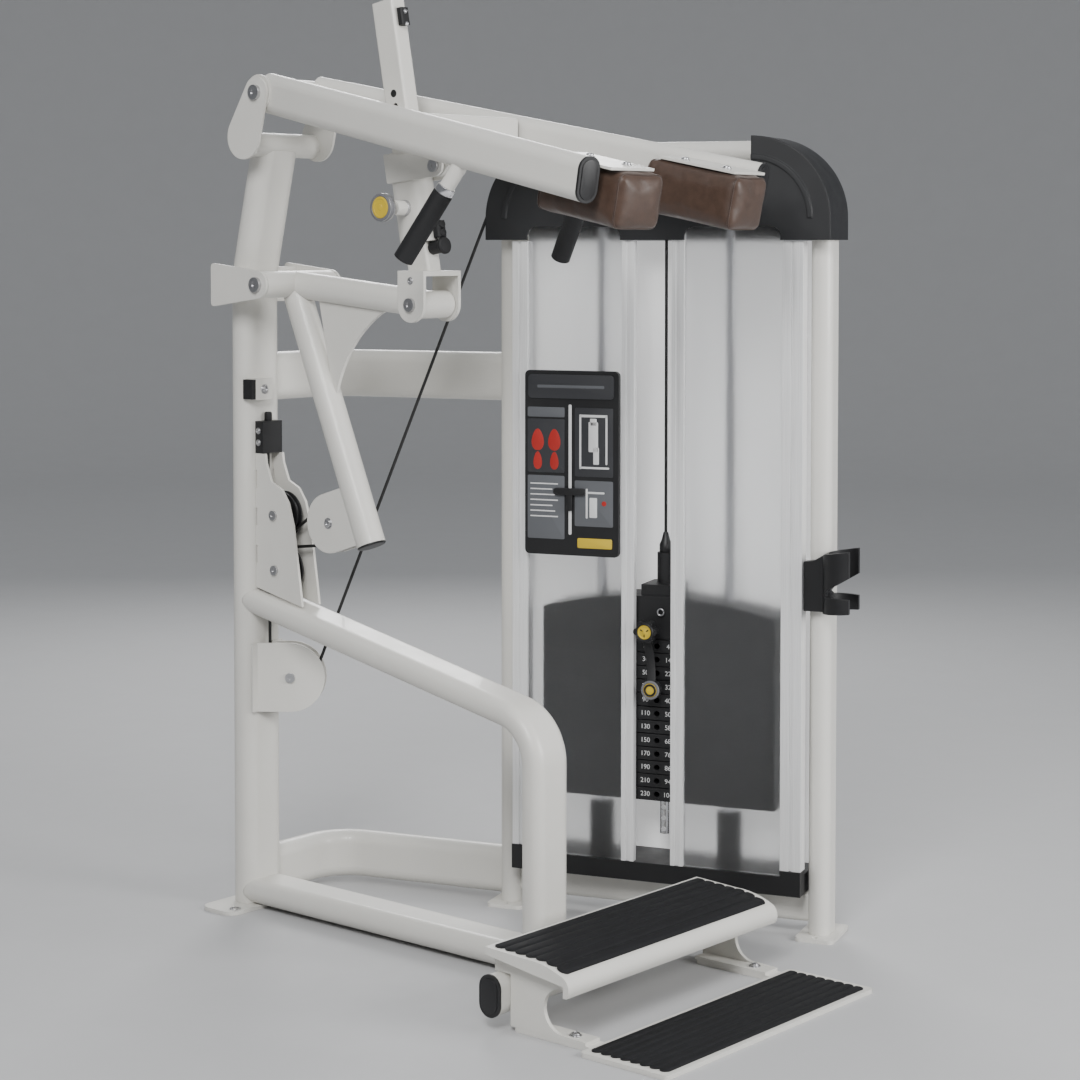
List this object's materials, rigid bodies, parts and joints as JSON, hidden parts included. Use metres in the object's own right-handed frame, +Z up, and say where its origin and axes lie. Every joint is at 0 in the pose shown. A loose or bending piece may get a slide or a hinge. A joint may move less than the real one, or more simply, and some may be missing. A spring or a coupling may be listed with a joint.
{
  "type": "standing calf raise machine",
  "caption": "Selectorized standing calf raise machine: shoulder-pad arms on a telescoping link, cable lever, enclosed weight stack, heel step and floor plate.",
  "frame": {"origin": "centre of the rear column's foot plate, on the floor", "axes": "+Z up, +Y from the user to the rear column, +X from the column to the weight tower"},
  "size_m": [0.9412, 1.355, 1.8421],
  "materials": {
    "frame_paint": "fine orange-peel powder coat",
    "arm_paint": "fine orange-peel powder coat",
    "black_plastic": "satin moulded",
    "cover_plastic": "satin moulded",
    "black_rubber": "matt",
    "mat_rubber": "ribbed matt",
    "grip_foam": "soft matt",
    "cushion": "grained",
    "fastener": "satin",
    "rod_chrome": "polished",
    "rail_aluminium": "anodised",
    "rail_bright": "anodised",
    "panel": "frosted translucent",
    "back_sheet": "smooth",
    "plate_black": "painted black",
    "rod_steel": "turned",
    "pulley_plastic": "moulded",
    "cable_black": "coated",
    "placard_plastic": "printed"
  },
  "bodies": {
    "frame": {"column": "frame_paint", "crosshead": "frame_paint", "foot_plates": "frame_paint", "base_tube": "frame_paint", "incline_tube": "frame_paint", "side_tubes": "frame_paint", "lever_bracket": "frame_paint", "pulley_bracket": "frame_paint", "lower_bracket": "frame_paint", "front_cross_tube": "frame_paint", "step_brackets": "frame_paint", "step_board": "frame_paint", "lower_frame": "frame_paint", "tower_posts": "frame_paint", "arch_tube": "frame_paint", "bottom_rail": "frame_paint", "stop_block": "frame_paint", "clamp_block": "black_plastic", "tube_caps": "black_plastic", "bottle_holder": "black_plastic", "plinth": "black_plastic", "top_cover": "cover_plastic", "rubber_stops": "black_rubber", "step_mats": "mat_rubber", "pivot_bolts": "fastener", "pulley_bolts": "fastener", "guide_rods": "rod_chrome", "corner_extrusions": "rail_aluminium", "centre_rails": "rail_bright", "side_panels": "panel", "back_panel": "back_sheet", "fixed_plates": "plate_black", "stack_cable": "cable_black", "leg_cable": "cable_black", "cable_runs": "cable_black", "placard": "placard_plastic"},
    "arms": {"pivot_tube": "arm_paint", "arm_tubes": "arm_paint", "arm_caps": "black_plastic", "pads": "cushion", "grips": "grip_foam", "arm_crossbar": "arm_paint"},
    "link": {"link_sleeve": "arm_paint", "link_post": "arm_paint", "link_bumpers": "black_rubber", "link_bolts": "fastener"},
    "pull_pin": {"pull_pin": "fastener"},
    "lever": {"lever_arm": "arm_paint", "lever_leg": "arm_paint"},
    "leg_pulley": {"leg_pulley": "pulley_plastic"},
    "stack": {"lifted_plates": "plate_black", "stack_head": "plate_black", "selector_rod": "rod_steel"},
    "selector_pin": {"selector_pin": "black_plastic"},
    "head_knob": {"head_knob": "black_plastic"},
    "upper_pulley": {"upper_pulley": "pulley_plastic"},
    "lower_pulley": {"lower_pulley": "pulley_plastic"},
    "base_pulley": {"base_pulley": "pulley_plastic"},
    "rear_top_pulley": {"rear_top_pulley": "pulley_plastic"},
    "front_top_pulley": {"front_top_pulley": "pulley_plastic"}
  },
  "joints": [
    {"name": "arm_swing", "type": "hinge", "parent": "frame", "child": "arms", "pos_m": [0, -0.118, 1.667], "axis": [-1, 0, 0], "range_deg": [0, 15]},
    {"name": "lever_swing", "type": "hinge", "parent": "frame", "child": "lever", "pos_m": [0, -0.118, 1.285], "axis": [-1, 0, 0], "range_deg": [0, 18.6], "deforming": ["leg_cable"]},
    {"name": "link_tilt", "type": "hinge", "parent": "arms", "child": "link", "pos_m": [0, -0.536, 1.515], "axis": [1, 0, 0], "range_deg": [0, 22.2]},
    {"name": "stack_lift", "type": "slide", "parent": "frame", "child": "stack", "axis": [0, 0, 1], "range_m": [0, 0.302], "deforming": ["stack_cable"]},
    {"name": "leg_pulley_spin", "type": "hinge", "parent": "lever", "child": "leg_pulley", "pos_m": [0, -0.229, 0.808], "axis": [-1, 0, 0], "range_deg": [0, 184]},
    {"name": "lower_pulley_spin", "type": "hinge", "parent": "frame", "child": "lower_pulley", "pos_m": [0, -0.085, 0.702], "axis": [1, 0, 0], "range_deg": [0, 392.5]},
    {"name": "base_pulley_spin", "type": "hinge", "parent": "frame", "child": "base_pulley", "pos_m": [0.02719, -0.07559, 0.47678], "axis": [0.7862, 0.6179, 0], "range_deg": [0, 392.5]},
    {"name": "rear_top_pulley_spin", "type": "hinge", "parent": "frame", "child": "rear_top_pulley", "pos_m": [0.30549, -0.44263, 1.44809], "axis": [-0.878, -0.4743, 0.0641], "range_deg": [0, 392.5]},
    {"name": "front_top_pulley_spin", "type": "hinge", "parent": "frame", "child": "front_top_pulley", "pos_m": [0.43521, -0.67684, 1.448], "axis": [-0.8799, -0.4752, 0], "range_deg": [0, 392.5]},
    {"name": "upper_pulley_spin", "type": "hinge", "parent": "frame", "child": "upper_pulley", "pos_m": [0, -0.082, 0.814], "axis": [1, 0, 0], "range_deg": [-30, 30]},
    {"name": "pull_pin_slide", "type": "slide", "parent": "link", "child": "pull_pin", "axis": [-1, 0, 0], "range_m": [0, 0.014], "stiffness_N_per_m": 900},
    {"name": "selector_pin_slide", "type": "slide", "parent": "stack", "child": "selector_pin", "axis": [-0.9495, -0.3137, 0], "range_m": [0, 0.045]},
    {"name": "head_knob_turn", "type": "hinge", "parent": "stack", "child": "head_knob", "pos_m": [0.35803, -0.73742, 0.5964], "axis": [-0.9495, -0.3137, 0], "range_deg": [0, 90]}
  ],
  "couplings": [
    {"joint": "lever_swing", "follows": "arm_swing", "ratio": 1.235},
    {"joint": "link_tilt", "follows": "arm_swing", "ratio": 1.4725},
    {"joint": "stack_lift", "follows": "arm_swing", "m_per_rad": 1.15},
    {"joint": "leg_pulley_spin", "follows": "arm_swing", "ratio": 12.2},
    {"joint": "lower_pulley_spin", "follows": "arm_swing", "ratio": 26.136},
    {"joint": "base_pulley_spin", "follows": "arm_swing", "ratio": 26.136},
    {"joint": "rear_top_pulley_spin", "follows": "arm_swing", "ratio": 26.136},
    {"joint": "front_top_pulley_spin", "follows": "arm_swing", "ratio": 26.136}
  ]
}
